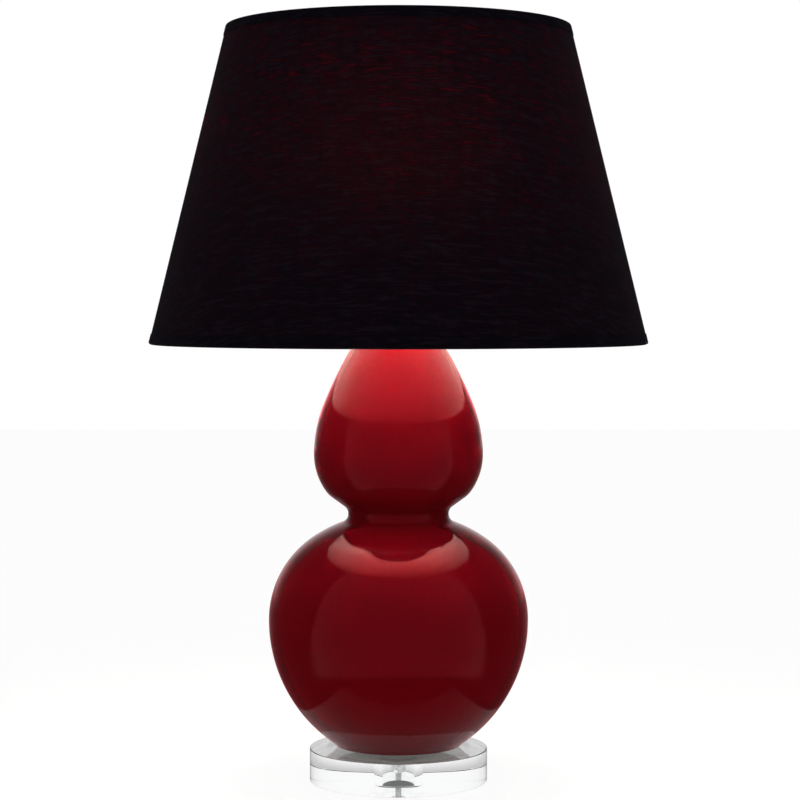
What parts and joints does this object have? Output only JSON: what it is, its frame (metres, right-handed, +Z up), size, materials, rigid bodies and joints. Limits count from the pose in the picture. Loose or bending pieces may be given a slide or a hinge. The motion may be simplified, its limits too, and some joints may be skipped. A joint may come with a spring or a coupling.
{
  "type": "table lamp",
  "caption": "Table lamp: glossy red double gourd ceramic body on a clear acrylic disc, with a black fabric empire shade on a harp, and a turn switch",
  "frame": {"origin": "centre of the disc's underside, on the table", "axes": "+Z up along the lamp's axis; the harp stands in the XZ plane, the switch knob points to -Y, the front in the picture, and the cord outlet and the shade's seam are on +Y"},
  "size_m": [0.4825, 0.4826, 0.7483],
  "materials": {
    "clear_acrylic": "polished clear acrylic",
    "zinc_steel": "zinc plated",
    "polished_nickel": "polished nickel plate",
    "clear_washer": "soft clear washer",
    "red_glaze": "glossy deep red glaze, unglazed foot and hollow",
    "black_plastic": "moulded, satin",
    "cardboard": "insulating sleeve",
    "phenolic": "moulded phenolic",
    "brass": "plain brass",
    "aluminium": "rolled thread",
    "frosted_glass": "inside frosted, lit",
    "base_glass": "black insulator",
    "solder": "dull solder",
    "black_fabric": "black slub cotton",
    "white_lining": "white translucent styrene",
    "shade_wire": "white coated wire"
  },
  "bodies": {
    "lamp": {"base_disc": "clear_acrylic", "base_washer": "zinc_steel", "base_lock_washer": "zinc_steel", "base_nut": "zinc_steel", "base_stud": "zinc_steel", "base_spacer": "polished_nickel", "spacer_gasket": "clear_washer", "gourd_body": "red_glaze", "cord_bushing": "black_plastic", "rod_coupling": "zinc_steel", "lamp_pipe": "zinc_steel", "neck_cap": "polished_nickel", "neck_column": "polished_nickel", "harp_saddle": "polished_nickel", "harp": "polished_nickel", "harp_seat": "polished_nickel", "holder_cap": "polished_nickel", "set_screw": "zinc_steel", "holder_shell": "polished_nickel", "holder_liner": "cardboard", "switch_block": "phenolic", "terminal_screws": "brass", "screw_shell": "brass", "center_contact": "brass"},
    "shade": {"shade_fabric": "black_fabric", "shade_lining": "white_lining", "shade_top_trim": "black_fabric", "shade_bottom_trim": "black_fabric", "shade_top_ring": "shade_wire", "shade_bottom_ring": "shade_wire", "spider_arms": "shade_wire", "spider_washer": "shade_wire"},
    "finial": {"finial": "polished_nickel"},
    "bulb": {"bulb_glass": "frosted_glass", "bulb_base": "aluminium", "bulb_insulator": "base_glass", "bulb_tip": "solder"},
    "switch": {"switch_stem": "brass", "switch_knob": "black_plastic"},
    "sleeve_left": {"harp_sleeve_left": "polished_nickel"},
    "sleeve_right": {"harp_sleeve_right": "polished_nickel"}
  },
  "joints": [
    {"name": "shade_swivel", "type": "hinge", "parent": "lamp", "child": "shade", "pos_m": [0, 0, 0.71445], "axis": [0, 0, 1], "continuous": true},
    {"name": "finial_unscrew", "type": "hinge", "parent": "lamp", "child": "finial", "pos_m": [0, 0, 0.71445], "axis": [0, 0, 1], "range_deg": [0, 2880]},
    {"name": "bulb_unscrew", "type": "hinge", "parent": "lamp", "child": "bulb", "pos_m": [0, 0, 0.5239], "axis": [0, 0, 1], "range_deg": [0, 1620]},
    {"name": "switch_turn", "type": "hinge", "parent": "lamp", "child": "switch", "pos_m": [0, -0.019, 0.51385], "axis": [0, 1, 0], "continuous": true},
    {"name": "sleeve_left_lift", "type": "slide", "parent": "lamp", "child": "sleeve_left", "axis": [0, 0, 1], "range_m": [0, 0.014]},
    {"name": "sleeve_right_lift", "type": "slide", "parent": "lamp", "child": "sleeve_right", "axis": [0, 0, 1], "range_m": [0, 0.014]}
  ]
}
